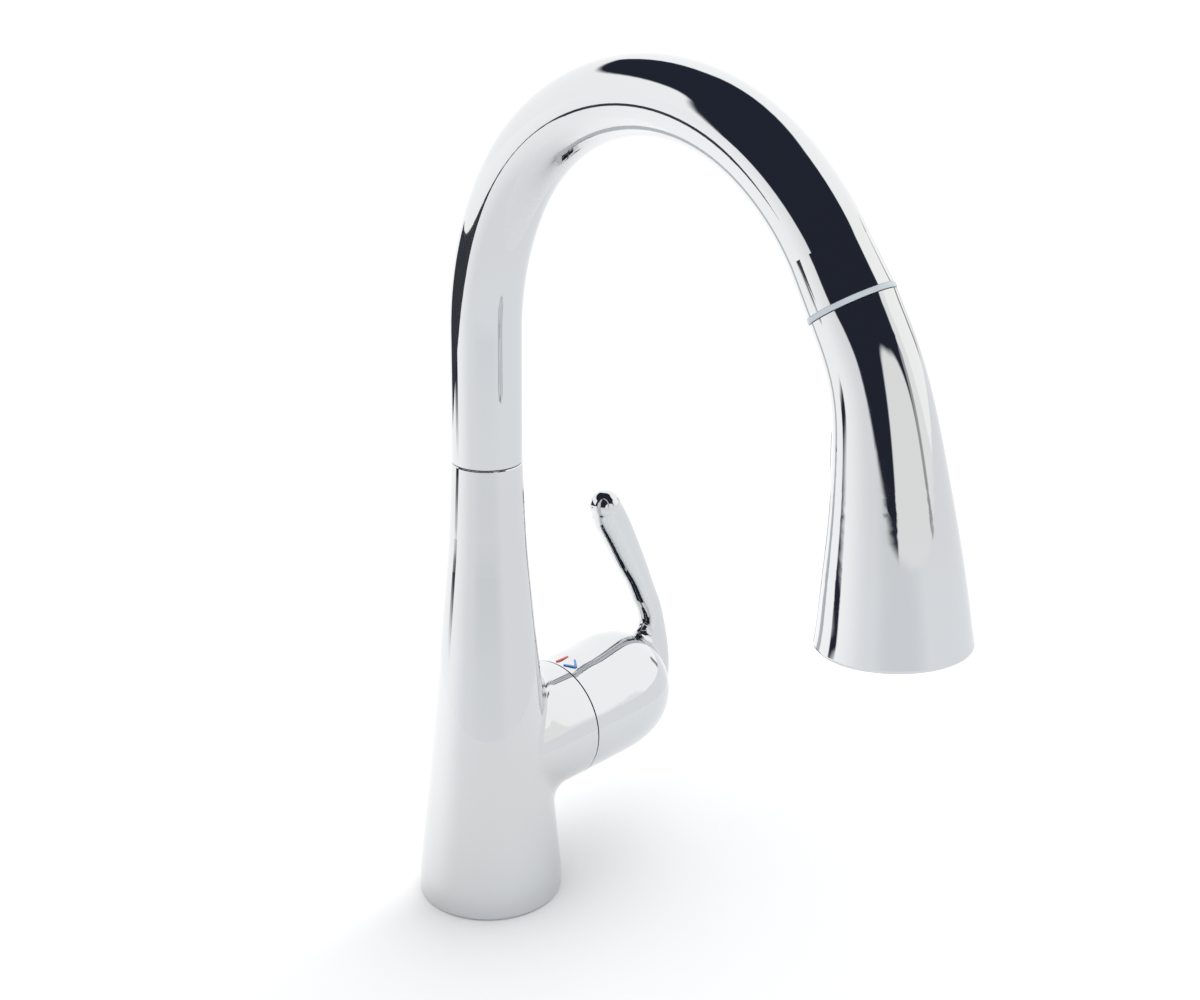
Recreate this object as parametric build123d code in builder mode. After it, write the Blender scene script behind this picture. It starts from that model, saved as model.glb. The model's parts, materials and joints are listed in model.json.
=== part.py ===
"""Pull down kitchen faucet, modelled as its separate pieces.

Frame: millimetres, +Z up, origin at the centre of the base on the deck.
The spout points along -Y and the valve and its lever along +X.
"""
from build123d import *
import os
from math import cos, pi, radians, sin

# ---------------------------------------------------------------- driving dimensions
GAP = 0.3               # between parts that move past each other
FIT = 0.05              # radial clearance of a pin or sleeve in its hole

# column and foot
SEAM_Z = 200.0          # top of the column, where the spout turns
SEAM_GAP = 0.6
SEAM_BEVEL = 0.4
BASE_R = 31.4
BASE_ROUND = 1.5
CONE_FOOT = (BASE_R, 9.0)   # radius and height where the cone starts
CONE_TOP = (16.6, 162.0)    # and where it ends
CONE_SOFTEN = (60.0, 300.0) # radii that soften these two bends
COLUMN_TOP_R = 14.8
COLUMN_WALL = 3.5
FLOOR = (16.0, 28.0)    # bottom and top of the thick plate inside the foot
RECESS_R = 18.5         # open foot below that plate
SHELF = (152.0, 158.0)  # ledge under the swivel bearing
SWIVEL_R = 13.0
HOSE_R = 5.75
HOSE_BORE_R = 6.7
GASKET = (25.0, 28.5, 1.8)
GRUB_Z = 179.5
GRUB_R = 2.0
PLATE_R = 25.0
PLATE_SLOT = 15.0
WASHER = (3.0, 2.5)     # rubber, steel
NUT_R = 7.2
NUT_LENGTH = 22.0
HOSE_END_Z = -66.0      # lower end of the hose
HOSE_STOP = 14.0        # its upper end lies this far inside the spout
COUPLING_R = 7.4
COUPLING_HEX = 8.0      # length of its hexagon, then of its round tail
COUPLING_TAIL = 14.0
FITTING_BORE = 3.2      # bore of both hose fittings
DECK = 30.0             # thickness of the worktop that the fixings reach through

# inlets, outlet and stud, seen from below
PORT_R = 4.5            # wall of the M10 x 1 threads
PORT_DEPTH = 12.0
WATERWAY_R = 2.6
BOSS_R = 5.0
INLET_CIRCLE = 12.6
INLET_ANGLE = 55.0
OUTLET_X = 13.6
STUD_X = -14.0
STUD_R = 4.0
STUD_END = -85.0

# valve
VALVE_Z = 67.2
HOUSING_R = 27.3
HOUSING_ROOT_R = 24.6
HOUSING_GROWN_X = 24.0  # where the housing reaches its full radius
HOUSING_END = 40.6
BLEND_R = 10.0          # soft blend between housing and column
POCKET_R = 17.6
POCKET_X = 10.0
CUP_WALL = 3.0
CUP_END = 28.6
SLEEVE = (11.2, 36.0)
SLEEVE_SEALS = (31.0, 24.0)
SPOOL_BORE = 8.2
STEM_R = 4.5
STEM_END = 66.0
NUT_BOSS_R = 12.0

# handle
CAP_START = HOUSING_END + GAP
# cap sections: x, rise of the centre, half height, half width
CAP = ((CAP_START, 0, HOUSING_R, HOUSING_R), (52, 0, HOUSING_R, HOUSING_R),
       (63, 0.3, 27.5, HOUSING_R), (74, 0.9, 28, 27.2), (84, 1.2, 27.2, 25.8),
       (92, 1, 24.4, 22.9), (98.5, 0.6, 19.8, 18.4), (103, 0.3, 14.2, 13), (106, 0, 8, 7.2),
       (107.2, 0, 3, 2.6))
CAP_WALL = 2.0
CAP_HOLLOW = (70.0, 27.0)   # end of its straight part, and depth of its dome
PIVOT_X = 44.0          # the handle rocks on a pin low inside the cap
PIVOT_DROP = 21.8
PIVOT_R = 1.2
PIN_X = 61.0            # cross pin between stem and handle
PIN_R = 1.8
LIFT = 14.0             # degrees that the handle rocks
PIVOT_RING_R = 18.0
PIVOT_EARS = (4.0, 7.0)     # inner and outer face of the ears for the pivot pin
EARS = (6.2, 9.2)           # the same for the stem's pin
TIP = (72.0, 161.8, 7.2)    # place and radius of the ball at the lever's end
# lever sections: x, z, lean in degrees, half depth, half width, share of the depth inside
LEVER = ((84, 61, -85, 13, 14, 0.5), (98, 62, -50, 11.5, 11.5, 0.5),
         (106.2, 71, -14, 10, 8.4, 0.42), (106.6, 84, 3, 9.2, 6, 0.3),
         (105.6, 97, 19, 6.7, 5.2, 0.3), (100.4, 110, 24, 6.5, 5.4, 0.3),
         (94.4, 122, 27, 6.8, 5.9, 0.38), (87.5, 134, 29, 7.7, 6.5, 0.44),
         (80.2, 147, 31, 8.1, 6.9, 0.5), (74.5, 156.5, 31, 8.2, 6.9, 0.5),
         (TIP[0], TIP[1], 31, TIP[2] - 0.15, TIP[2] - 0.15, 0.5))
ROOT_BLEND = 5.0            # soft blend between lever and cap
RIB = (17.0, 2.5, 42.0, 15.0)   # rib inside the dome: place from the stem's pin, length, height
EAR = (4.8, 6.8)            # length and height of the ears for the pivot pin
SLOT_PLAY = 0.14
# way of the stem's pin in its slots as the handle rocks
SLOT_RISE = ((PIN_X - PIVOT_X) * sin(radians(LIFT)) + PIVOT_DROP * (1 - cos(radians(LIFT)))
             + SLOT_PLAY)
MARK_WIDTH = 0.9

# spout
TUBE_R = 14.75
TUBE_BORE = 13.55
TUBE_END_R = 15.7
TUBE_END = 18.0         # straight, slightly flared end of the tube
RISE = 54.6             # straight tube above the seam
ARCH = ((117.7, 28.75), (85.2, 93.3), (99.7, 24.95))    # radius and angle of each arc
COLLAR_R = 10.2
COLLAR_BORE = 7.6
COLLAR_REACH = 22.0     # how far it goes up into the tube
GUIDE_R = 11.2
SPIGOT_R = 10.9         # the head's guide, which slides in the docking collar
SPIGOT_BORE = 6.4
DOCK_R = 15.95
DOCK_BAND = 2.0         # visible band between spout and head

# spray head
HEAD_ARCS = ((114.0, 23.1), (663.0, 6.17))
HEAD_RADII = (15.8, 16.1, 17.1, 18.9, 21.0, 23.3, 25.5, 27.9)
HEAD_WALL = 2.0
FACE_RECESS = 2.2
FACE_R = 24.5
ROCKER_AT = 0.46        # place of the rocker along the head
ROCKER = (13.0, 30.0, 6.0)  # width, length, corner radius
ROCKER_THICK = 5.5
ROCKER_PLAY = 1.1           # gap at its ends, which its tilt takes up
ROCKER_PIN_OUT = 13.6       # pin's distance from the head's centreline
ROCKER_PIN_R = 0.9
ROCKER_PIN_HALF = 8.0
CORE_R = 9.3
CORE_BORE = 6.0
CORE_PLACES = (0.055, 0.3, 0.55, 0.78)  # sections of its pipe, as shares of the head
FLANGE_R = 22.8
AERATOR_R = 8.4
AERATOR_PITCH = 1.5
NOZZLE_R = 1.0
NOZZLE_RINGS = ((12.4, 14), (16.4, 20), (20.4, 26))

OUT = "parts"
os.makedirs(OUT, exist_ok=True)


def save(piece, name):
    """Label a finished piece and write it."""
    piece.part.label = name
    export_step(piece.part, f"{OUT}/{name}.step")


# ---------------------------------------------------------------- planes and centrelines
VALVE_AXIS = Axis((0, 0, VALVE_Z), (1, 0, 0))
VALVE_SECTION = Plane(origin=(0, 0, VALVE_Z), x_dir=(1, 0, 0), z_dir=(0, -1, 0))
SIDE = Plane(origin=(0, 0, 0), x_dir=(0, -1, 0), z_dir=(-1, 0, 0))     # forward and up
INLETS = [(INLET_CIRCLE * cos(radians(a)), INLET_CIRCLE * sin(radians(a)))
          for a in (INLET_ANGLE, -INLET_ANGLE)]


def across_valve(x):
    """Sketch plane across the valve's axis, at x."""
    return Plane(origin=(x, 0, VALVE_Z), x_dir=(0, 1, 0), z_dir=(1, 0, 0))


with BuildLine(SIDE) as arch_line:
    step = Line((0, SEAM_Z + SEAM_GAP), (0, SEAM_Z + RISE))
    for radius, angle in ARCH:
        step = JernArc(start=step @ 1, tangent=step % 1, radius=radius, arc_size=-angle)
OUTLET_DIR = step % 1
OUTLET = step @ 1 + OUTLET_DIR * TUBE_END


def across_outlet(distance):
    """Plane across the outlet's axis, a distance beyond the spout's end."""
    return Plane(origin=OUTLET + OUTLET_DIR * distance, x_dir=(1, 0, 0), z_dir=OUTLET_DIR)


HEAD_START = DOCK_BAND + GAP
with BuildLine(SIDE) as head_line:
    bend = JernArc(start=OUTLET + OUTLET_DIR * HEAD_START, tangent=OUTLET_DIR,
                   radius=HEAD_ARCS[0][0], arc_size=-HEAD_ARCS[0][1])
    JernArc(start=bend @ 1, tangent=bend % 1, radius=HEAD_ARCS[1][0], arc_size=-HEAD_ARCS[1][1])
HEAD_WIRE = head_line.wires()[0]


def across_head(share, back=0.0):
    """Plane across the head's curved centreline, at a share of its length."""
    way = HEAD_WIRE % share
    return Plane(origin=HEAD_WIRE @ share - way * back, x_dir=(1, 0, 0), z_dir=way)


def ring(plane, length, outer, inner=0.0):
    """Plain tube or disc that starts on a plane."""
    with BuildPart() as made:
        with BuildSketch(plane):
            Circle(outer)
            if inner:
                Circle(inner, mode=Mode.SUBTRACT)
        extrude(amount=length)
    return made


def o_ring(plane, radius, cord):
    """Round seal of a given middle radius, lying in a plane."""
    with BuildPart() as made:
        with BuildSketch(Plane(origin=plane.origin, x_dir=plane.x_dir, z_dir=plane.y_dir)):
            with Locations((radius, 0)):
                Circle(cord)
        revolve(axis=Axis(plane.origin, plane.z_dir))
    return made


# ---------------------------------------------------------------- faucet body
with BuildPart() as faucet_body:
    with BuildSketch(Plane.XZ) as column:
        Polygon((0, 0), (BASE_R, 0), CONE_FOOT, CONE_TOP, (COLUMN_TOP_R, SEAM_Z), (0, SEAM_Z),
                align=None)
        for corner, soften in (((BASE_R, 0), BASE_ROUND), (CONE_FOOT, CONE_SOFTEN[0]),
                               (CONE_TOP, CONE_SOFTEN[1])):
            fillet(column.vertices().sort_by_distance(corner)[0], soften)
        chamfer(column.vertices().sort_by_distance((COLUMN_TOP_R, SEAM_Z))[0], SEAM_BEVEL)
    revolve(axis=Axis.Z)
    with BuildSketch(VALVE_SECTION):
        with BuildLine():
            TangentArc((HOUSING_GROWN_X, HOUSING_R), (0, HOUSING_ROOT_R), tangent=(-1, 0))
            Polyline((HOUSING_GROWN_X, HOUSING_R), (HOUSING_END, HOUSING_R), (HOUSING_END, 0),
                     (0, 0), (0, HOUSING_ROOT_R))
        make_face()
    revolve(axis=VALVE_AXIS)
    fillet(faucet_body.edges().filter_by(GeomType.BSPLINE), BLEND_R)
    chamfer(faucet_body.edges().filter_by(GeomType.CIRCLE).sort_by(Axis.X)[-1], SEAM_BEVEL)
    # hollow column: open foot, cavity above the floor plate, bearing bore at the top
    cone_slope = (BASE_R - CONE_TOP[0]) / (CONE_TOP[1] - CONE_FOOT[1])
    cavity_foot = BASE_R - (FLOOR[1] - CONE_FOOT[1]) * cone_slope - COLUMN_WALL
    cavity_top = BASE_R - (SHELF[0] - CONE_FOOT[1]) * cone_slope - COLUMN_WALL
    with BuildSketch(Plane.XZ):
        Polygon((0, FLOOR[1]), (cavity_foot, FLOOR[1]), (cavity_top, SHELF[0]), (0, SHELF[0]),
                align=None)
    revolve(axis=Axis.Z, mode=Mode.SUBTRACT)
    with BuildSketch():
        Circle(RECESS_R)
    extrude(amount=FLOOR[0], mode=Mode.SUBTRACT)
    with BuildSketch(Plane.XY.offset(SHELF[1])):
        Circle(SWIVEL_R)
    extrude(amount=SEAM_Z, mode=Mode.SUBTRACT)
    # cup for the cartridge and the risers from the inlets
    with BuildSketch(across_valve(POCKET_X - CUP_WALL)):
        Circle(POCKET_R + CUP_WALL)
    extrude(amount=CUP_END - POCKET_X)
    with BuildSketch(Plane.XY.offset(FLOOR[1])):
        with Locations(*INLETS):
            Circle(BOSS_R)
    extrude(amount=VALVE_Z + BOSS_R - FLOOR[1])
    with BuildSketch(Plane.XY.offset(FLOOR[1])):
        with Locations((OUTLET_X, 0)):
            Circle(BOSS_R)
    extrude(amount=VALVE_Z - POCKET_R - 1 - FLOOR[1])
    with BuildSketch(across_valve(POCKET_X)):
        Circle(POCKET_R)
    extrude(amount=HOUSING_END, mode=Mode.SUBTRACT)
    # threads and waterways
    with BuildSketch(Plane.XY.offset(FLOOR[0])):
        with Locations(*INLETS, (OUTLET_X, 0)):
            Circle(PORT_R)
        with Locations((STUD_X, 0)):
            Circle(STUD_R)
    extrude(amount=PORT_DEPTH - 1, mode=Mode.SUBTRACT)
    with BuildSketch(Plane.XY.offset(FLOOR[0])):
        with Locations(*INLETS, (OUTLET_X, 0)):
            Circle(WATERWAY_R)
    extrude(amount=VALVE_Z - FLOOR[0], mode=Mode.SUBTRACT)
    with BuildSketch(across_valve(INLETS[0][0])):
        with Locations(*[(y, 0) for x, y in INLETS]):
            Circle(WATERWAY_R)
    extrude(amount=POCKET_X, mode=Mode.SUBTRACT)
    # passage for the hose, from the foot to the bearing
    with BuildSketch():
        Circle(HOSE_BORE_R)
    extrude(amount=SEAM_Z, mode=Mode.SUBTRACT)
    # groove for the gasket, hole for the grub screw
    with BuildSketch():
        Circle(GASKET[1])
        Circle(GASKET[0], mode=Mode.SUBTRACT)
    extrude(amount=GASKET[2], mode=Mode.SUBTRACT)
    with BuildSketch(Plane.XZ.offset(-SWIVEL_R + 1)):
        with Locations((0, GRUB_Z)):
            Circle(GRUB_R)
    extrude(amount=-COLUMN_TOP_R, mode=Mode.SUBTRACT)
save(faucet_body, "faucet_body")

# ---------------------------------------------------------------- fixings under the deck
save(ring(Plane.XY, GASKET[2], GASKET[1], GASKET[0]), "base_gasket")

with BuildPart() as mounting_stud:
    with BuildSketch(Plane.XY.offset(STUD_END)):
        with Locations((STUD_X, 0)):
            Circle(STUD_R)
    extrude(amount=FLOOR[0] + PORT_DEPTH - 2 - STUD_END)
    chamfer(mounting_stud.edges().sort_by(Axis.Z)[0], 0.8)
save(mounting_stud, "mounting_stud")


def horseshoe(top, thickness):
    """Plate that hangs on the stud and leaves the hoses free."""
    with BuildPart() as made:
        with BuildSketch(Plane.XY.offset(top - thickness)) as outline:
            Circle(PLATE_R)
            with Locations((PLATE_R, 0)):
                Rectangle(2 * (PLATE_R + HOSE_BORE_R + 1), 2 * PLATE_SLOT, mode=Mode.SUBTRACT)
            with Locations((STUD_X, 0)):
                Circle(STUD_R + 0.4, mode=Mode.SUBTRACT)
        extrude(amount=thickness)
    return made


save(horseshoe(-DECK, WASHER[0]), "rubber_washer")
save(horseshoe(-DECK - WASHER[0], WASHER[1]), "support_plate")

with BuildPart() as fixing_nut:
    nut_top = -DECK - sum(WASHER)
    with BuildSketch(Plane.XY.offset(nut_top - NUT_LENGTH)):
        with Locations((STUD_X, 0)):
            RegularPolygon(NUT_R, 6, rotation=30)
            Circle(STUD_R, mode=Mode.SUBTRACT)
    extrude(amount=NUT_LENGTH)
save(fixing_nut, "fixing_nut")

# ---------------------------------------------------------------- spout and its bearing
with BuildPart() as spout_tube:
    with BuildLine(SIDE):
        add(arch_line.edges())
    with BuildSketch(Plane.XY.offset(SEAM_Z + SEAM_GAP)):
        Circle(TUBE_R)
        Circle(TUBE_BORE, mode=Mode.SUBTRACT)
    sweep()
    chamfer(spout_tube.edges().filter_by(GeomType.CIRCLE).group_by(Axis.Z)[0][-1], 0.3)
    with BuildSketch(across_outlet(-TUBE_END)):
        Circle(TUBE_R)
    with BuildSketch(across_outlet(0)):
        Circle(TUBE_END_R)
    loft()
    with BuildSketch(across_outlet(-TUBE_END)):
        Circle(TUBE_BORE)
    extrude(amount=TUBE_END, mode=Mode.SUBTRACT)
save(spout_tube, "spout_tube")

with BuildPart() as spout_collar:
    with BuildSketch(Plane.XZ):
        Polygon((COLLAR_BORE, SHELF[1] + 1), (COLLAR_R, SHELF[1] + 1), (COLLAR_R, SEAM_Z + SEAM_GAP),
                (TUBE_BORE, SEAM_Z + SEAM_GAP), (TUBE_BORE, SEAM_Z + COLLAR_REACH),
                (COLLAR_BORE, SEAM_Z + COLLAR_REACH),
                align=None)
        with Locations((COLLAR_R, GRUB_Z)):
            Rectangle(2, 2 * GRUB_R + 0.4, mode=Mode.SUBTRACT)
    revolve(axis=Axis.Z)
save(spout_collar, "spout_collar")

save(ring(Plane.XY.offset(SEAM_Z), SEAM_GAP - 0.1, COLUMN_TOP_R - 0.8, COLLAR_R + 0.4),
     "seam_washer")
save(ring(Plane.XY.offset(SHELF[1] + 2), 7, SWIVEL_R, COLLAR_R + FIT), "lower_glide_ring")
save(ring(Plane.XY.offset(SEAM_Z - 10), 9.5, SWIVEL_R, COLLAR_R + FIT), "upper_glide_ring")

with BuildPart() as spout_grub_screw:
    with BuildSketch(Plane.XZ.offset(-COLLAR_R + 0.6)):
        with Locations((0, GRUB_Z)):
            Circle(GRUB_R)
    extrude(amount=-5.4)
    with BuildSketch(Plane.XZ.offset(-COLLAR_R - 4.8)):
        with Locations((0, GRUB_Z)):
            RegularPolygon(1.15, 6)
    extrude(amount=2, mode=Mode.SUBTRACT)
save(spout_grub_screw, "spout_grub_screw")

with BuildPart() as docking_collar:
    with BuildSketch(across_outlet(-TUBE_END + 1)):
        Circle(TUBE_BORE - FIT)
    extrude(amount=TUBE_END - 1)
    with BuildSketch(across_outlet(0)):
        Circle(DOCK_R)
    extrude(amount=DOCK_BAND)
    fillet(docking_collar.edges().filter_by(GeomType.CIRCLE).group_by(SortBy.RADIUS)[-1], 0.5)
    with BuildSketch(across_outlet(-TUBE_END)):
        Circle(GUIDE_R)
    extrude(amount=2 * TUBE_END, mode=Mode.SUBTRACT)
save(docking_collar, "docking_collar")

# ---------------------------------------------------------------- hose
with BuildPart() as spray_hose:
    with BuildLine(SIDE):
        Line((0, HOSE_END_Z), (0, SEAM_Z + SEAM_GAP))
        add(arch_line.edges())
        Line(step @ 1, OUTLET - OUTLET_DIR * HOSE_STOP)
    with BuildSketch(Plane.XY.offset(HOSE_END_Z)):
        Circle(HOSE_R)
    sweep()
hose_length = SEAM_Z + SEAM_GAP - HOSE_END_Z + arch_line.wires()[0].length + TUBE_END - HOSE_STOP
hose_volume = hose_length * pi * HOSE_R ** 2
print("hose radii", [radius for radius, angle in ARCH], "length", round(hose_length, 1))
print("hose volume over section times length", round(spray_hose.part.volume / hose_volume, 4))
save(spray_hose, "spray_hose")

with BuildPart() as hose_coupling:
    with BuildSketch(Plane.XY.offset(HOSE_END_Z - COUPLING_HEX)):
        RegularPolygon(COUPLING_R, 6)
    extrude(amount=COUPLING_HEX)
    tail_end = Plane.XY.offset(HOSE_END_Z - COUPLING_HEX - COUPLING_TAIL)
    with BuildSketch(tail_end):
        Circle(COUPLING_R - 1.6)
    extrude(amount=COUPLING_TAIL)
    with BuildSketch(tail_end):
        Circle(FITTING_BORE)
    extrude(amount=COUPLING_HEX + COUPLING_TAIL, mode=Mode.SUBTRACT)
    chamfer(hose_coupling.edges().filter_by(GeomType.CIRCLE).sort_by(Axis.Z)[-1], 0.4)
save(hose_coupling, "hose_coupling")

# ---------------------------------------------------------------- cartridge and stem
with BuildPart() as cartridge_sleeve:
    with BuildSketch(across_valve(SLEEVE[0])):
        Circle(POCKET_R - FIT)
    extrude(amount=SLEEVE[1] - SLEEVE[0])
    with BuildSketch(across_valve(SLEEVE[0] + 1.4)):
        Circle(SPOOL_BORE)
    extrude(amount=SLEEVE[1], mode=Mode.SUBTRACT)
    with BuildSketch(across_valve(SLEEVE[0])):
        with Locations(*[(y, 0) for x, y in INLETS]):
            Circle(WATERWAY_R - 0.6)
    extrude(amount=8, mode=Mode.SUBTRACT)
    with BuildSketch(Plane.XZ.offset(-INLETS[0][1])):
        with Locations((SLEEVE[0] + 6, VALVE_Z)):
            Circle(WATERWAY_R - 0.6)
    extrude(amount=2 * INLETS[0][1], mode=Mode.SUBTRACT)
    with BuildSketch(Plane.XY.offset(VALVE_Z - POCKET_R - 1)):
        with Locations((OUTLET_X + 1.5, 0)):
            Circle(WATERWAY_R - 0.6)
    extrude(amount=POCKET_R, mode=Mode.SUBTRACT)
    for x in SLEEVE_SEALS:
        with BuildSketch(across_valve(x - 1.1)):
            Circle(POCKET_R)
            Circle(POCKET_R - 1.7, mode=Mode.SUBTRACT)
        extrude(amount=2.2, mode=Mode.SUBTRACT)
save(cartridge_sleeve, "cartridge_sleeve")

with BuildPart() as cartridge_seals:
    for x in SLEEVE_SEALS:
        add(o_ring(across_valve(x), POCKET_R - 0.85, 0.8).part)
    with BuildSketch(across_valve(POCKET_X + FIT)):
        with Locations(*[(y, 0) for x, y in INLETS]):
            Circle(WATERWAY_R + 1)
            Circle(WATERWAY_R - 0.4, mode=Mode.SUBTRACT)
    extrude(amount=SLEEVE[0] - POCKET_X - 2 * FIT)
save(cartridge_seals, "cartridge_seals")

with BuildPart() as retaining_nut:
    with BuildSketch(across_valve(SLEEVE[1])):
        Circle(POCKET_R - FIT)
    extrude(amount=HOUSING_END - SLEEVE[1])
    with BuildSketch(across_valve(HOUSING_END)):
        Circle(NUT_BOSS_R)
    extrude(amount=9)
    with BuildSketch(across_valve(HOUSING_END + 9)):
        RegularPolygon(NUT_BOSS_R - 1.5, 6)
    extrude(amount=3.5)
    with BuildSketch(across_valve(SLEEVE[1])):
        Circle(STEM_R + 0.3)
    extrude(amount=HOUSING_END, mode=Mode.SUBTRACT)
save(retaining_nut, "retaining_nut")

SPOOL = (SLEEVE[0] + 2.8, 27.0)
SPOOL_SEALS = (SPOOL[0] + 2, SPOOL[1] - 2)
with BuildPart() as valve_stem:
    with BuildSketch(VALVE_SECTION):
        Polygon((SPOOL[0], 0), (SPOOL[0], SPOOL_BORE - 0.2), (SPOOL[1], SPOOL_BORE - 0.2),
                (SPOOL[1], STEM_R), (STEM_END - 1, STEM_R), (STEM_END, STEM_R - 1), (STEM_END, 0),
                align=None)
        with Locations(*[(x, SPOOL_BORE) for x in SPOOL_SEALS]):
            Rectangle(2.0, 3.2, mode=Mode.SUBTRACT)
        with Locations((sum(SPOOL) / 2, SPOOL_BORE)):
            Rectangle(4, 4, mode=Mode.SUBTRACT)
    revolve(axis=VALVE_AXIS)
    with BuildSketch(Plane.XZ.offset(-STEM_R - 1)):
        with Locations((PIN_X, VALVE_Z)):
            Circle(PIN_R)
    extrude(amount=2 * STEM_R + 2, mode=Mode.SUBTRACT)
save(valve_stem, "valve_stem")

with BuildPart() as stem_seals:
    for x in SPOOL_SEALS:
        add(o_ring(across_valve(x), SPOOL_BORE - 0.85, 0.75).part)
save(stem_seals, "stem_seals")


def cross_pin(x, z, pin_radius, half):
    """Pin along Y."""
    with BuildPart() as made:
        with BuildSketch(Plane.XZ.offset(-half)):
            with Locations((x, z)):
                Circle(pin_radius)
        extrude(amount=2 * half)
        chamfer(made.edges().filter_by(GeomType.CIRCLE), 0.3)
    return made


save(cross_pin(PIN_X, VALVE_Z, PIN_R, EARS[1] - 0.2), "stem_pin")
save(cross_pin(PIVOT_X, VALVE_Z - PIVOT_DROP, PIVOT_R, PIVOT_EARS[1]), "pivot_pin")

with BuildPart() as pivot_ring:
    with BuildSketch(across_valve(CAP_START + 0.5)):
        Circle(PIVOT_RING_R)
    extrude(amount=7.5)
    with BuildSketch(across_valve(CAP_START + 0.5)):
        with Locations((0, -PIVOT_DROP + PIVOT_R)):
            Rectangle(2 * PIVOT_EARS[0] - 2 * GAP, 7)
    extrude(amount=5.2)
    with BuildSketch(across_valve(CAP_START)):
        Circle(NUT_BOSS_R + FIT)
    extrude(amount=20, mode=Mode.SUBTRACT)
    with BuildSketch(Plane.XZ.offset(-PIVOT_EARS[0])):
        with Locations((PIVOT_X, VALVE_Z - PIVOT_DROP)):
            Circle(PIVOT_R)
    extrude(amount=2 * PIVOT_EARS[0], mode=Mode.SUBTRACT)
save(pivot_ring, "pivot_ring")

# ---------------------------------------------------------------- handle
def cap_inlay(*bars):
    """Thin inlay that follows the top of the cap, cut to the shape of straight bars."""
    with BuildPart() as made:
        with BuildSketch(across_valve(CAP_START)):
            Circle(HOUSING_R + 0.08)
            Circle(HOUSING_R - 0.4, mode=Mode.SUBTRACT)
        extrude(amount=14)
        with BuildSketch(Plane.XY.offset(VALVE_Z + HOUSING_R / 2)):
            for start, end in bars:
                with BuildLine():
                    Line(start, end)
                trace(line_width=MARK_WIDTH)
        extrude(amount=HOUSING_R, mode=Mode.INTERSECT)
    return made


hot_mark = cap_inlay(((43.0, 1.4), (50.0, 1.4)))
cold_mark = cap_inlay(((42.6, -3.2), (46.2, -7.6)), ((46.2, -7.6), (49.8, -3.2)))
save(hot_mark, "hot_mark")
save(cold_mark, "cold_mark")


def lever_plane(x, z, lean):
    """Section plane of the lever; lean is its turn from upright, towards the column."""
    up = Vector(-sin(radians(lean)), 0, cos(radians(lean)))
    return Plane(origin=(x, 0, z), x_dir=(0, 1, 0), z_dir=up)


def egg(half_width, half_depth, inside):
    """Oval section whose side towards the column is flatter than the outer one."""
    inner = 2 * half_depth * inside
    outer = 2 * half_depth - inner
    with BuildSketch() as made:
        with BuildLine():
            EllipticalCenterArc((0, half_depth - inner), half_width, inner, arc_size=180)
            EllipticalCenterArc((0, half_depth - inner), half_width, outer, start_angle=180,
                                arc_size=180)
        make_face()
    return made.sketch


with BuildPart() as cap:
    for x, rise, half_height, half_width in CAP:
        with BuildSketch(across_valve(x)):
            with Locations((0, rise)):
                Ellipse(half_width, half_height)
    loft()

with BuildPart() as handle:
    for x, z, lean, half_depth, half_width, inside in LEVER:
        with BuildSketch(lever_plane(x, z, lean)):
            add(egg(half_width, half_depth, inside))
    loft()
    with Locations((TIP[0], 0, TIP[1])):
        Sphere(TIP[2])
    add(cap.part)
    root = [edge for edge in handle.edges()
            if edge.center().X > CAP[-3][0] - 4 and abs(edge.center().Y) > 1
            and abs(edge.center().Z - VALVE_Z) < HOUSING_R]
    fillet(root, ROOT_BLEND)
    with BuildSketch(VALVE_SECTION):
        inside = HOUSING_R - CAP_WALL
        with BuildLine():
            Line((CAP_START, 0), (CAP_START, inside))
            Line((CAP_START, inside), (CAP_HOLLOW[0], inside))
            EllipticalCenterArc((CAP_HOLLOW[0], 0), CAP_HOLLOW[1], inside, arc_size=90)
            Line((sum(CAP_HOLLOW), 0), (CAP_START, 0))
        make_face()
    revolve(axis=VALVE_AXIS, mode=Mode.SUBTRACT)
    # ears for the pivot pin low inside the rim, ribs inside the dome for the stem's pin
    for side in (-1, 1):
        with BuildSketch(Plane.XZ.offset(side * sum(PIVOT_EARS) / 2)):
            with Locations((PIVOT_X, VALVE_Z - PIVOT_DROP - 1)):
                Rectangle(*EAR)
        extrude(amount=(PIVOT_EARS[1] - PIVOT_EARS[0]) / 2, both=True)
        with BuildSketch(Plane.XZ.offset(side * sum(EARS) / 2)):
            with Locations((PIN_X + RIB[0], VALVE_Z + RIB[1])):
                Rectangle(RIB[2], RIB[3])
        extrude(amount=(EARS[1] - EARS[0]) / 2, both=True)
    with BuildSketch(Plane.XZ):
        with Locations((PIN_X, VALVE_Z + SLOT_RISE / 2)):
            SlotCenterToCenter(SLOT_RISE, 2 * PIN_R + 0.9, rotation=90)
        with Locations((PIVOT_X, VALVE_Z - PIVOT_DROP)):
            Circle(PIVOT_R + FIT)
    extrude(amount=EARS[1] + GAP, both=True, mode=Mode.SUBTRACT)
    # relief under the rim, so that it clears the housing when it rocks
    with BuildSketch(Plane.XZ.offset(-HOUSING_R)):
        with Locations((0, VALVE_Z)):
            Polygon((CAP_START - 1, -PIVOT_DROP - 0.7), (CAP_START, -PIVOT_DROP - 0.7),
                    (CAP_START + 1.5, -HOUSING_R - 1.2), (CAP_START - 1, -HOUSING_R - 1.2),
                    align=None)
    extrude(amount=2 * HOUSING_R, mode=Mode.SUBTRACT)
    for mark in (hot_mark, cold_mark):
        add(mark.part, mode=Mode.SUBTRACT)
save(handle, "handle")


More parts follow.
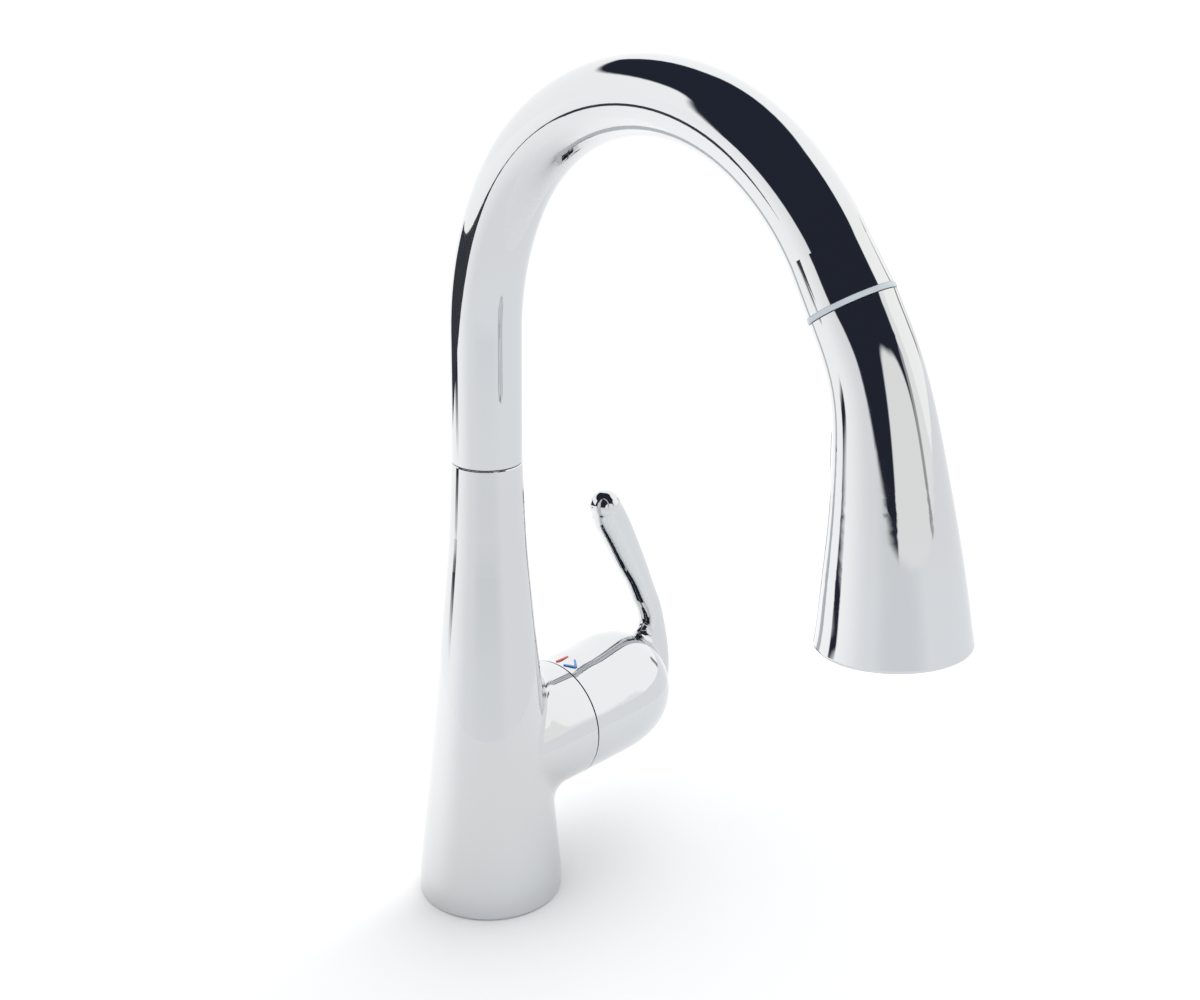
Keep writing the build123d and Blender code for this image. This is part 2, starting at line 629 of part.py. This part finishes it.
# ---------------------------------------------------------------- spray head
def head_form(change):
    """Flared solid along the head's centreline, its radii changed by a fixed amount."""
    last = len(HEAD_RADII) - 1
    with BuildPart() as made:
        for number, size in enumerate(HEAD_RADII):
            with BuildSketch(across_head(number / last)):
                Circle(size + change)
        loft()
    return made.part


rocker_way = HEAD_WIRE % ROCKER_AT
rocker_out = Vector(1, 0, 0).cross(rocker_way)
rocker_face = Plane(origin=HEAD_WIRE @ ROCKER_AT, x_dir=(1, 0, 0), z_dir=rocker_out)
rocker_pin_at = HEAD_WIRE @ ROCKER_AT + rocker_out * ROCKER_PIN_OUT

with BuildPart() as spray_shell:
    add(head_form(0))
    fillet(spray_shell.edges().sort_by(Axis.Z)[0], 1.2)
    add(head_form(-HEAD_WALL), mode=Mode.SUBTRACT)
    with BuildSketch(rocker_face):
        RectangleRounded(ROCKER[0] + 2 * GAP, ROCKER[1] + 2 * ROCKER_PLAY, ROCKER[2])
    extrude(amount=HEAD_RADII[-1], mode=Mode.SUBTRACT)
save(spray_shell, "spray_shell")

with BuildPart() as toggle_button:
    add(head_form(1.0))
    with BuildSketch(rocker_face):
        RectangleRounded(ROCKER[0], ROCKER[1], ROCKER[2])
    extrude(amount=HEAD_RADII[-1], mode=Mode.INTERSECT)
    add(head_form(-ROCKER_THICK), mode=Mode.SUBTRACT)
    with BuildSketch(Plane.YZ):
        with Locations((rocker_pin_at.Y, rocker_pin_at.Z)):
            Circle(ROCKER_PIN_R + 1.2)
    extrude(amount=ROCKER[0] / 2, both=True)
    with BuildSketch(Plane.YZ.offset(-ROCKER[0])):
        with Locations((rocker_pin_at.Y, rocker_pin_at.Z)):
            Circle(ROCKER_PIN_R + FIT)
    extrude(amount=2 * ROCKER[0], mode=Mode.SUBTRACT)
save(toggle_button, "toggle_button")

with BuildPart() as toggle_pin:
    with BuildSketch(Plane.YZ.offset(-ROCKER_PIN_HALF)):
        with Locations((rocker_pin_at.Y, rocker_pin_at.Z)):
            Circle(ROCKER_PIN_R)
    extrude(amount=2 * ROCKER_PIN_HALF)
save(toggle_pin, "toggle_pin")

with BuildPart() as head_spigot:
    with BuildSketch(across_outlet(1 - TUBE_END + 2)):
        Circle(SPIGOT_R)
    extrude(amount=TUBE_END - 3 + HEAD_START)
    with BuildSketch(across_outlet(HEAD_START)):
        Circle(HEAD_RADII[0] - HEAD_WALL - GAP)
    extrude(amount=6)
    with BuildSketch(across_outlet(-TUBE_END)):
        Circle(SPIGOT_BORE)
    extrude(amount=2 * TUBE_END, mode=Mode.SUBTRACT)
save(head_spigot, "head_spigot")

with BuildPart() as hose_nut:
    with BuildSketch(across_outlet(-HOSE_STOP)):
        Circle(SPIGOT_BORE - FIT)
        Circle(FITTING_BORE, mode=Mode.SUBTRACT)
    extrude(amount=HOSE_STOP)
save(hose_nut, "hose_nut")
save(ring(across_outlet(0.3), 0.8, SPIGOT_BORE - FIT), "filter_screen")

with BuildPart() as check_valve:
    with BuildSketch(across_outlet(1.4)):
        Circle(SPIGOT_BORE - 2 * FIT)
        Circle(4, mode=Mode.SUBTRACT)
    extrude(amount=6.4)
    with BuildSketch(across_outlet(3.5)):
        Circle(2.8)
        Rectangle(9, 1)
        Rectangle(1, 9)
    extrude(amount=3)
save(check_valve, "check_valve")

FACE = FACE_RECESS + 2.5        # back of the face plate, measured from the rim
MAT = FACE + 1.5                # back of the nozzle mat
FLANGE = MAT + 4
with BuildPart() as spray_core:
    for share in CORE_PLACES:
        with BuildSketch(across_head(share)):
            Circle(CORE_R)
    loft()
    with BuildSketch(across_head(CORE_PLACES[-1])):
        Circle(CORE_R)
    with BuildSketch(across_head(1, FLANGE)):
        Circle(FLANGE_R - 1)
    loft()
    with BuildSketch(across_head(1, FLANGE)):
        Circle(FLANGE_R)
    extrude(amount=FLANGE - MAT)
    arm_end = rocker_pin_at + rocker_out * 1.2
    for side in (-1, 1):
        with BuildSketch(Plane.YZ.offset(side * (ROCKER_PIN_HALF - 0.5))):
            with BuildLine():
                Line(tuple(HEAD_WIRE @ ROCKER_AT)[1:], (arm_end.Y, arm_end.Z))
            trace(line_width=5)
        extrude(amount=0.55, both=True)
    with BuildSketch(Plane.YZ):
        with Locations((rocker_pin_at.Y, rocker_pin_at.Z)):
            Circle(ROCKER_PIN_R)
    extrude(amount=ROCKER_PIN_HALF + 1, both=True, mode=Mode.SUBTRACT)
    for share in CORE_PLACES:
        with BuildSketch(across_head(share)):
            Circle(CORE_BORE)
    loft(mode=Mode.SUBTRACT)
    with BuildSketch(across_head(CORE_PLACES[-1])):
        Circle(CORE_BORE)
    with BuildSketch(across_head(1, FLANGE)):
        Circle(FLANGE_R - 4)
    loft(mode=Mode.SUBTRACT)
    with BuildSketch(across_head(1, FLANGE)):
        Circle(FLANGE_R - 4)
    extrude(amount=FLANGE - MAT, mode=Mode.SUBTRACT)
save(spray_core, "spray_core")
save(o_ring(across_head(1, MAT + 2), FLANGE_R + 0.5, 0.45), "core_seal")


def nozzle_places():
    """Nozzle positions on the face, ring by ring."""
    return [(ring_r * cos(2 * pi * k / count), ring_r * sin(2 * pi * k / count))
            for ring_r, count in NOZZLE_RINGS for k in range(count)]


with BuildPart() as face_plate:
    with BuildSketch(across_head(1, FACE)):
        Circle(FACE_R)
        Circle(AERATOR_R + 0.2, mode=Mode.SUBTRACT)
        with Locations(*nozzle_places()):
            Circle(NOZZLE_R + 0.15, mode=Mode.SUBTRACT)
    extrude(amount=FACE - FACE_RECESS)
save(face_plate, "face_plate")

with BuildPart() as spray_nozzles:
    with BuildSketch(across_head(1, MAT)):
        Circle(FACE_R - 1.5)
        Circle(AERATOR_R + 0.6, mode=Mode.SUBTRACT)
        with Locations(*nozzle_places()):
            Circle(NOZZLE_R - 0.5, mode=Mode.SUBTRACT)
    extrude(amount=MAT - FACE)
    with BuildSketch(across_head(1, FACE)):
        with Locations(*nozzle_places()):
            Circle(NOZZLE_R)
            Circle(NOZZLE_R - 0.5, mode=Mode.SUBTRACT)
    extrude(amount=FACE - FACE_RECESS + 0.7)
save(spray_nozzles, "spray_nozzles")

with BuildPart() as aerator:
    with BuildSketch(across_head(1, FLANGE - 1)):
        Circle(AERATOR_R)
        with HexLocations(AERATOR_PITCH, 5, 5):
            Circle(AERATOR_PITCH * 0.55, mode=Mode.SUBTRACT)
    extrude(amount=FLANGE - 1 - FACE_RECESS + 0.4)
save(aerator, "aerator")
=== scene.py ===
import json
from math import cos, pi, radians, sin

import bmesh
import bpy
from mathutils import Matrix, Vector


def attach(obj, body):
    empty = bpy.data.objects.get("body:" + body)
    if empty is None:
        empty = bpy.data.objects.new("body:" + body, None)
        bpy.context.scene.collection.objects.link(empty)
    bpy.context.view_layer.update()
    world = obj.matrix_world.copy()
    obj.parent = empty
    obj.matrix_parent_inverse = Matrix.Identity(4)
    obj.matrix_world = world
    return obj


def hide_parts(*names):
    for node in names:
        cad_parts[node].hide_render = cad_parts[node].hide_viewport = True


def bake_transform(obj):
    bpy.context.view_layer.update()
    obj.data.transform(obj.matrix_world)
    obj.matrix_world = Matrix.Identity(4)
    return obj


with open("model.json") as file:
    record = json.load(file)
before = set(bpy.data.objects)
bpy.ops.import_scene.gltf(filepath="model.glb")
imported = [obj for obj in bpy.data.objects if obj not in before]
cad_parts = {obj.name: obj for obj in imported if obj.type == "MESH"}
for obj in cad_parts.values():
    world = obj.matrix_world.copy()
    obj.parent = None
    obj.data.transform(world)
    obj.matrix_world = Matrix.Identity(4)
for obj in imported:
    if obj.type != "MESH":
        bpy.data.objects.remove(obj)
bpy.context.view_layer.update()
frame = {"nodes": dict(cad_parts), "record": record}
SCENE = bpy.context.scene
MM = 0.001
MICRON = 0.000001
SIDEWAYS = Vector((1, 0, 0))        # square to the plane that the spout lies in


# ---------------------------------------------------------------- camera
CAMERA_PLACE = Vector((-0.463, -0.4925, 0.4267))
CAMERA_HEADING = radians(-49.18)    # it stands at the left front
CAMERA_DIP = radians(19.8)
CAMERA_ROLL = radians(1.46)
CAMERA_LENS = 51.78
CAMERA_SHIFT = -0.0471
CAMERA_NEAR = 0.01


def make_camera():
    """A lens of ordinary length, turned to its heading, dipped and rolled a little."""
    back = Vector((sin(CAMERA_HEADING) * cos(CAMERA_DIP), -cos(CAMERA_HEADING) * cos(CAMERA_DIP),
                   sin(CAMERA_DIP)))
    level = Vector((0, 0, 1)).cross(back).normalized()
    upward = back.cross(level)
    right = level * cos(CAMERA_ROLL) + upward * sin(CAMERA_ROLL)
    camera = bpy.data.objects.new("camera", bpy.data.cameras.new("camera"))
    camera.matrix_world = Matrix((right, back.cross(right), back)).transposed().to_4x4()
    camera.location = CAMERA_PLACE
    camera.data.lens = CAMERA_LENS
    camera.data.shift_x = CAMERA_SHIFT
    camera.data.clip_start = CAMERA_NEAR
    SCENE.collection.objects.link(camera)
    SCENE.camera = camera


# ---------------------------------------------------------------- node helpers
NOISE_SPAN = (0.3, 0.7)


def feed(tree, socket, value):
    """Links another node's output to an input, or sets the input's value."""
    if isinstance(value, bpy.types.NodeSocket):
        tree.links.new(value, socket)
    else:
        socket.default_value = value


def put(tree, kind, settings=None, **inputs):
    """A new shader node, with its settings made and its inputs linked or set."""
    made = tree.nodes.new("ShaderNode" + kind)
    for name, value in (settings or {}).items():
        setattr(made, name, value)
    for name, value in inputs.items():
        feed(tree, made.inputs[name.replace("_", " ")], value)
    return made


def calc(tree, operation, *values):
    """Result of a math node."""
    made = put(tree, "Math", {"operation": operation})
    for socket, value in zip(made.inputs, values):
        feed(tree, socket, value)
    return made.outputs[0]


def dot(tree, vector, way):
    """Dot product of a vector and a fixed way."""
    made = put(tree, "VectorMath", {"operation": "DOT_PRODUCT"})
    feed(tree, made.inputs[0], vector)
    feed(tree, made.inputs[1], way)
    return made.outputs["Value"]


def ramp(tree, value, low, high, out_low=0.0, out_high=1.0, smooth=False):
    """Value carried from one range to another and held at its ends."""
    kind = {"interpolation_type": "SMOOTHSTEP" if smooth else "LINEAR"}
    made = put(tree, "MapRange", kind, Value=value, From_Min=low, From_Max=high, To_Min=out_low,
               To_Max=out_high)
    return made.outputs["Result"]


def mix(tree, share, first, second):
    """Two colours mixed by a share."""
    made = put(tree, "Mix", {"data_type": "RGBA"})
    share_in, first_in, second_in = made.inputs[0], made.inputs[6], made.inputs[7]
    feed(tree, share_in, share)
    feed(tree, first_in, first)
    feed(tree, second_in, second)
    return made.outputs[2]


def noise(tree, place, scale, detail):
    """Noise of so many lumps in a metre, mostly within NOISE_SPAN."""
    return put(tree, "TexNoise", Vector=place, Scale=scale, Detail=detail).outputs["Fac"]


def grey(level, blue=0.0):
    """Neutral colour, or a slightly blue one."""
    return (level * (1 - blue), level, level * (1 + blue), 1)


def blank(name):
    """New material with its node tree, its Principled shader and the object's own coordinates."""
    material = bpy.data.materials.new(name)
    material.use_nodes = True
    tree = material.node_tree
    return material, tree, tree.nodes["Principled BSDF"], put(tree, "TexCoord").outputs["Object"]


def bumpy(tree, shader, height, depth, strength=0.5):
    """Bump of a given depth in metres on the shader's normal."""
    bump = put(tree, "Bump", Height=height, Distance=depth, Strength=strength)
    feed(tree, shader.inputs["Normal"], bump.outputs["Normal"])


# ---------------------------------------------------------------- finishes
BRAID_TURNS = 70.0                  # turns of a strand in a metre
BRAID_STRANDS = 8.0


def chrome():
    """Polished plating: a trace of haze where it was wiped, and a faint waviness of the metal."""
    material, tree, shader, place = blank("polished_chrome")
    shader.inputs["Metallic"].default_value = 1.0
    tint = ramp(tree, noise(tree, place, 9.0, 1.0), 0.4, 0.6, smooth=True)
    feed(tree, shader.inputs["Base Color"], mix(tree, tint, grey(0.65, 0.01), grey(0.67, 0.02)))
    wiped = put(tree, "Mapping", Vector=place, Rotation=(0.5, 0.2, 0.9), Scale=(30, 30, 160))
    haze = noise(tree, wiped.outputs["Vector"], 1.0, 4.0)
    feed(tree, shader.inputs["Roughness"], ramp(tree, haze, 0.45, 0.75, 0.022, 0.055))
    bumpy(tree, shader, noise(tree, place, 55.0, 0.0), 30 * MICRON, 0.2)
    return material


def turned(name, first, second, rough, pitch):
    """Machined metal with fine tool marks and slightly stained patches."""
    material, tree, shader, place = blank(name)
    shader.inputs["Metallic"].default_value = 1.0
    stain = noise(tree, place, 90.0, 5.0)
    feed(tree, shader.inputs["Base Color"], mix(tree, ramp(tree, stain, 0.4, 0.62), first, second))
    feed(tree, shader.inputs["Roughness"], ramp(tree, stain, *NOISE_SPAN, *rough))
    marks = put(tree, "TexWave", {"wave_type": "RINGS", "rings_direction": "SPHERICAL"},
                Vector=place, Scale=pitch, Distortion=0.4, Detail=1.0)
    bumpy(tree, shader, marks.outputs["Fac"], 20 * MICRON)
    return material


def spangled(name, first, second, rough, crystals):
    """Zinc plated steel: small crystals, each with its own shade."""
    material, tree, shader, place = blank(name)
    shader.inputs["Metallic"].default_value = 1.0
    crystal = put(tree, "TexVoronoi", Vector=place, Scale=crystals).outputs["Distance"]
    feed(tree, shader.inputs["Base Color"], mix(tree, crystal, first, second))
    feed(tree, shader.inputs["Roughness"], ramp(tree, crystal, 0.0, 0.7, *rough))
    bumpy(tree, shader, crystal, 20 * MICRON)
    return material


def drifting(name, first, second, rough, patch, grain, depth, **constants):
    """Surface whose colour and roughness drift in soft patches over a fine grain.

    patch and grain count their lumps in a metre, depth is the grain's in metres, and rough is the
    roughness from patch to patch.
    """
    material, tree, shader, place = blank(name)
    patches = noise(tree, place, patch, 3.0)
    fine = noise(tree, place, grain, 2.0)
    spread = ramp(tree, patches, 0.35, 0.65, smooth=True)
    feed(tree, shader.inputs["Base Color"], mix(tree, spread, first, second))
    feed(tree, shader.inputs["Roughness"], ramp(tree, patches, *NOISE_SPAN, *rough))
    bumpy(tree, shader, fine, depth)
    for socket, value in constants.items():
        shader.inputs[socket.replace("_", " ")].default_value = value
    return material


def braided(name, base, way):
    """Grey nylon braid: two sets of strands that cross over and under round a straight hose, with
    painted shade darkening the gaps between the strands.

    The hose's centreline passes through base and runs along way, square to SIDEWAYS.
    """
    material, tree, shader, place = blank(name)
    ahead = way.cross(SIDEWAYS)
    along = dot(tree, place, way)
    beside = calc(tree, "SUBTRACT", dot(tree, place, ahead), base.dot(ahead))
    across = put(tree, "SeparateXYZ", Vector=place).outputs["X"]
    round_it = calc(tree, "ARCTAN2", across, beside)
    waves = []
    for lay in (1.0, -1.0):
        phase = calc(tree, "ADD", calc(tree, "MULTIPLY", round_it, BRAID_STRANDS),
                     calc(tree, "MULTIPLY", along, 2 * pi * BRAID_TURNS * lay))
        waves.append(calc(tree, "SINE", phase))
    over = calc(tree, "MAXIMUM", *waves)
    # painted shade: the colour darkens in the gaps between strands, where neither strand lies on
    # top
    shade = ramp(tree, over, 0.0, 1.0)
    feed(tree, shader.inputs["Base Color"], mix(tree, shade, grey(0.12, 0.03), grey(0.5, 0.03)))
    feed(tree, shader.inputs["Roughness"], ramp(tree, over, 0.0, 1.0, 0.7, 0.38))
    bumpy(tree, shader, over, 400 * MICRON, 0.8)
    return material


def enamel(name, first, second):
    """Glossy coloured inlay."""
    return drifting(name, first, second, (0.12, 0.2), 300.0, 2500.0, 20 * MICRON, Coat_Weight=0.6)


def make_finishes():
    """One material for each of the record's material slots."""
    return {
        "chrome": chrome(),
        "brass": turned("turned_brass", (0.72, 0.5, 0.2, 1), (0.62, 0.4, 0.15, 1), (0.2, 0.36),
                        900.0),
        "steel": spangled("zinc_plate", grey(0.5, 0.02), grey(0.68, 0.05), (0.24, 0.42), 420.0),
        "black_rubber": drifting("black_rubber", grey(0.018), grey(0.03), (0.5, 0.68),
                                 60.0, 1600.0, 60 * MICRON),
        "white_plastic": drifting("acetal_plastic", grey(0.72), (0.76, 0.75, 0.7, 1), (0.3, 0.42),
                                  35.0, 1200.0, 30 * MICRON, Subsurface_Weight=0.05),
        "dark_plastic": drifting("dark_plastic", grey(0.022, 0.1), grey(0.035, 0.1), (0.34, 0.46),
                                 50.0, 1500.0, 30 * MICRON),
        "ring_grey": drifting("satin_ring_plastic", grey(0.42, 0.09), grey(0.47, 0.1),
                              (0.28, 0.36), 45.0, 1400.0, 20 * MICRON, Coat_Weight=0.2),
        "face_grey": drifting("satin_face_plastic", grey(0.16, 0.03), grey(0.19, 0.04),
                              (0.36, 0.48), 40.0, 1300.0, 40 * MICRON),
        "silicone": drifting("soft_silicone", grey(0.26, 0.03), grey(0.3, 0.03), (0.42, 0.55),
                             70.0, 900.0, 30 * MICRON, Subsurface_Weight=0.15),
        "braid": braided("braided_nylon", Vector((0, 0, 0)), Vector((0, 0, 1))),
        "red_inlay": enamel("red_enamel", (0.62, 0.05, 0.03, 1), (0.52, 0.04, 0.03, 1)),
        "blue_inlay": enamel("blue_enamel", (0.05, 0.2, 0.55, 1), (0.04, 0.16, 0.46, 1)),
    }


def dress(finishes):
    """Gives every CAD node the finish of its slot."""
    for entry in frame["record"]["subparts"]:
        for slot in frame["nodes"][entry["node"]].material_slots:
            slot.material = finishes[entry["material_slot"]]


# ---------------------------------------------------------------- meshes
def object_of(form, name):
    """Object with the mesh of a bmesh, which is used up."""
    mesh = bpy.data.meshes.new(name)
    form.to_mesh(mesh)
    form.free()
    made = bpy.data.objects.new(name, mesh)
    SCENE.collection.objects.link(made)
    return made


def tube(name, points, radius, sides=32):
    """Round tube along points that lie in the plane square to SIDEWAYS."""
    form = bmesh.new()
    rings = []
    turns = [2 * pi * k / sides for k in range(sides)]
    for n, point in enumerate(points):
        way = (points[min(n + 1, len(points) - 1)] - points[max(n - 1, 0)]).normalized()
        side = way.cross(SIDEWAYS)
        rings.append([form.verts.new(point + radius * (SIDEWAYS * cos(turn) + side * sin(turn)))
                      for turn in turns])
    for lower, upper in zip(rings, rings[1:]):
        for k in range(sides):
            form.faces.new((lower[k], lower[k - 1], upper[k - 1], upper[k]))
    form.faces.new(rings[0])
    form.faces.new(reversed(rings[-1]))
    bmesh.ops.recalc_face_normals(form, faces=form.faces)
    made = object_of(form, name)
    made.data.shade_smooth()
    return made


# ---------------------------------------------------------------- hose
HOSE_R = 5.7 * MM
HOSE_FOOT = -66 * MM                # height of its lower end
ARCH_FOOT = 255.2 * MM              # top of the straight rise
ARCH = ((117.7 * MM, 28.75), (85.2 * MM, 93.3), (99.7 * MM, 24.95))     # radius, degrees
TUBE_END = 18 * MM                  # straight end of the spout
HOSE_STOP = 14 * MM                 # the hose ends this far inside the spout
SLACK = 30 * MM                     # last stretch of hose, made as a piece of its own
STEP = 1.5 * MM                     # between rings of the hose, or four times that on the rise


def hose_route():
    """Centreline of the hose, and the outlet's place and way.

    It runs up the column, round the arch and down to the outlet.
    """
    rise = ARCH_FOOT - HOSE_FOOT
    count = round(rise / (4 * STEP))
    points = [Vector((0, 0, HOSE_FOOT + rise * n / count)) for n in range(count)]
    place, turn = Vector((0, 0, ARCH_FOOT)), 0.0
    for radius, degrees in ARCH:
        count = round(radians(degrees) * radius / STEP)
        centre = place + radius * Vector((0, -cos(turn), -sin(turn)))
        for n in range(count):
            angle = turn + radians(degrees) * n / count
            points.append(centre + radius * Vector((0, cos(angle), sin(angle))))
        turn += radians(degrees)
        place = centre + radius * Vector((0, cos(turn), sin(turn)))
    way = Vector((0, -sin(turn), cos(turn)))
    straight = TUBE_END - HOSE_STOP
    count = round(straight / STEP)
    points += [place + way * straight * n / count for n in range(count + 1)]
    return points, place + way * TUBE_END, way


ROUTE, OUTLET, OUTLET_WAY = hose_route()


def make_hose(finish):
    """The braided hose: one length stays in column and spout, the last one is made as a piece of
    its own.
    """
    last = round((SLACK - TUBE_END + HOSE_STOP) / STEP)
    split = len(ROUTE) - last - round((TUBE_END - HOSE_STOP) / STEP)
    still = tube("hose_in_spout", ROUTE[:split + 1], HOSE_R)
    moving = tube("hose_to_head", ROUTE[split:], HOSE_R)
    still.data.materials.append(finish)
    moving.data.materials.append(braided("braided_nylon_drawn", OUTLET, OUTLET_WAY))
    for hose in (still, moving):
        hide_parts("spray_hose")
    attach(still, "spout")
    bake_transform(moving)


# ---------------------------------------------------------------- studio
WHITE = 1.36                        # brightness of the surroundings, where they are seen directly
DARK = (0.022, 0.026, 0.042, 1)     # what the metal mirrors between the panels
HORIZON = radians(2.9)
HORIZON_EDGE = radians(0.8)
# soft panels and darker gaps: brightness, then heading, height, half width, half height and
# corner in degrees; each lies over the ones before it
PANELS = ((1.1, 38, 16, 18, 22, 14), (1.27, 97, 27, 60, 32, 25), (1.05, -15, 3, 31, 25, 24),
          (1.24, -166, 12, 44, 23, 8), (0.45, 18.5, 10, 3, 17, 3), (0.3, 84, 8, 3, 8, 3))
PANEL_BLUE = -0.005                 # the panels are a trace warm
PANEL_EDGE = radians(1.6)
FAR_BAND = (-151, -14.8, 7, 2.4, 2)     # dark strip behind the table, at the left

GROUND_FRONT = (1.0, 1.01, 1.03, 1)
GROUND_BACK = (1.28, 1.28, 1.28, 1)
GROUND_DIP = (0.88, 0.9, 0.92, 1)   # a little darker towards the left front
DIP_WAY = (-0.69, -0.69, -0.22)
DIP_NEARNESS = (0.72, 0.98)         # how close to that way the ground turns darker
DIP_FADE = (-0.36, -0.16)           # it fades in between these heights of the mirrored way

FLOOR_R = 0.3
FLOOR_SEGMENTS = 128
# painted light: the table top is painted dimmer in front and brighter behind, for light falling
# from the back
FLOOR_FRONT_PAINTED_DIM = grey(0.74, 0.01)
FLOOR_BACK_PAINTED_LIT = grey(0.93)
FLOOR_ROUGH = (0.75, 0.85)
FLOOR_GLOSS = 0.1

CARD_SPAN = (-122, -178)            # from heading to heading, in degrees
CARD_REACH = 0.42
CARD_HEIGHTS = ((0.17, 0.21), (0.085, 0.27))    # low and high edge at either end
CARD_STEPS = 12

LAMP_PLACE = (0.9, 0.5, 1.3)
LAMP_SIZE = 1.1
LAMP_POWER = 4.0


def panel_mask(tree, way, heading, height, half_width, half_height, corner):
    """1 inside a rounded panel on the sky, 0 outside it, with a soft edge."""
    turned_way = put(tree, "VectorRotate", {"rotation_type": "Z_AXIS"}, Vector=way,
                     Angle=radians(-heading)).outputs[0]
    split = put(tree, "SeparateXYZ", Vector=turned_way)
    beside = calc(tree, "ABSOLUTE", calc(tree, "ARCTAN2", split.outputs["X"],
                                         calc(tree, "MULTIPLY", split.outputs["Y"], -1.0)))
    above = calc(tree, "SUBTRACT", calc(tree, "ARCSINE", split.outputs["Z"]), radians(height))
    across = calc(tree, "SUBTRACT", beside, radians(half_width - corner))
    upward = calc(tree, "SUBTRACT", calc(tree, "ABSOLUTE", above), radians(half_height - corner))
    outside = put(tree, "CombineXYZ", X=calc(tree, "MAXIMUM", across, 0.0),
                  Y=calc(tree, "MAXIMUM", upward, 0.0)).outputs[0]
    reach = put(tree, "VectorMath", {"operation": "LENGTH"}, Vector=outside).outputs["Value"]
    within = calc(tree, "MINIMUM", calc(tree, "MAXIMUM", across, upward), 0.0)
    distance = calc(tree, "SUBTRACT", calc(tree, "ADD", reach, within), radians(corner))
    return ramp(tree, distance, PANEL_EDGE, -PANEL_EDGE, smooth=True)


def backward(tree, split):
    """0 in front of the faucet and 1 behind it, for a direction or a place split in its parts."""
    heading = calc(tree, "ARCTAN2", split.outputs["Y"], split.outputs["X"])
    return ramp(tree, calc(tree, "SINE", heading), 0.0, 0.9, smooth=True)


def make_sky():
    """Plain pale surroundings, which polished metal sees as soft panels in a dark room."""
    world = bpy.data.worlds.new("studio")
    SCENE.world = world
    world.use_nodes = True
    world.cycles.sampling_method = "NONE"
    tree = world.node_tree
    way = put(tree, "TexCoord").outputs["Generated"]
    panels = DARK
    for light, *shape in PANELS:
        panels = mix(tree, panel_mask(tree, way, *shape), panels, grey(light, PANEL_BLUE))
    split = put(tree, "SeparateXYZ", Vector=way)
    dip = calc(tree, "MULTIPLY", ramp(tree, dot(tree, way, DIP_WAY), *DIP_NEARNESS, smooth=True),
               ramp(tree, split.outputs["Z"], *DIP_FADE, smooth=True))
    ground = mix(tree, backward(tree, split), GROUND_FRONT, GROUND_BACK)
    ground = mix(tree, dip, ground, GROUND_DIP)
    below = ramp(tree, calc(tree, "ARCSINE", split.outputs["Z"]), HORIZON + HORIZON_EDGE,
                 HORIZON - HORIZON_EDGE, smooth=True)
    mirrored = mix(tree, panel_mask(tree, way, *FAR_BAND), mix(tree, below, panels, ground), DARK)
    glossy = put(tree, "LightPath").outputs["Is Glossy Ray"]
    color = mix(tree, glossy, grey(WHITE), mirrored)
    feed(tree, tree.nodes["Background"].inputs["Color"], color)


def make_floor():
    """Round pale table top, painted dimmer in front and brighter behind the faucet, as if lit from
    behind.
    """
    form = bmesh.new()
    bmesh.ops.create_circle(form, cap_ends=True, segments=FLOOR_SEGMENTS, radius=FLOOR_R)
    floor = object_of(form, "floor")
    table, tree, shader, place = blank("pale_table")
    split = put(tree, "SeparateXYZ", Vector=place)
    soft = noise(tree, place, 3.0, 2.0)
    # painted light: the colour is brighter behind the faucet and dimmer in front
    feed(tree, shader.inputs["Base Color"],
         mix(tree, backward(tree, split), FLOOR_FRONT_PAINTED_DIM, FLOOR_BACK_PAINTED_LIT))
    feed(tree, shader.inputs["Roughness"], ramp(tree, soft, *NOISE_SPAN, *FLOOR_ROUGH))
    shader.inputs["Specular IOR Level"].default_value = FLOOR_GLOSS
    floor.data.materials.append(table)


def make_card():
    """Narrow dark card at the left behind the spout, seen only in the metal."""
    form = bmesh.new()
    low_edge, high_edge = [], []
    start, stop = CARD_SPAN
    for n in range(CARD_STEPS + 1):
        turn = radians(start + (stop - start) * n / CARD_STEPS)
        for edge, first, last in zip((low_edge, high_edge), *CARD_HEIGHTS):
            height = first + (last - first) * n / CARD_STEPS
            edge.append(form.verts.new((CARD_REACH * sin(turn), -CARD_REACH * cos(turn), height)))
    for n in range(CARD_STEPS):
        form.faces.new((low_edge[n], low_edge[n + 1], high_edge[n + 1], high_edge[n]))
    card = object_of(form, "dark_card")
    card.data.materials.append(drifting("black_paper", DARK, grey(0.03), (0.9, 0.95),
                                        20.0, 300.0, 20 * MICRON))
    for kind in ("camera", "diffuse", "shadow", "transmission"):
        setattr(card, "visible_" + kind, False)


def make_light():
    """One broad soft lamp from the right and behind."""
    lamp = bpy.data.lights.new("soft_lamp", "AREA")
    lamp.size = LAMP_SIZE
    lamp.energy = LAMP_POWER
    light = bpy.data.objects.new("soft_lamp", lamp)
    light.location = LAMP_PLACE
    light.rotation_euler = light.location.to_track_quat("Z", "Y").to_euler()
    light.visible_glossy = False
    SCENE.collection.objects.link(light)


make_camera()
finishes = make_finishes()
dress(finishes)
make_hose(finishes["braid"])
make_sky()
make_floor()
make_card()
make_light()
SCENE.view_settings.view_transform = "Standard"
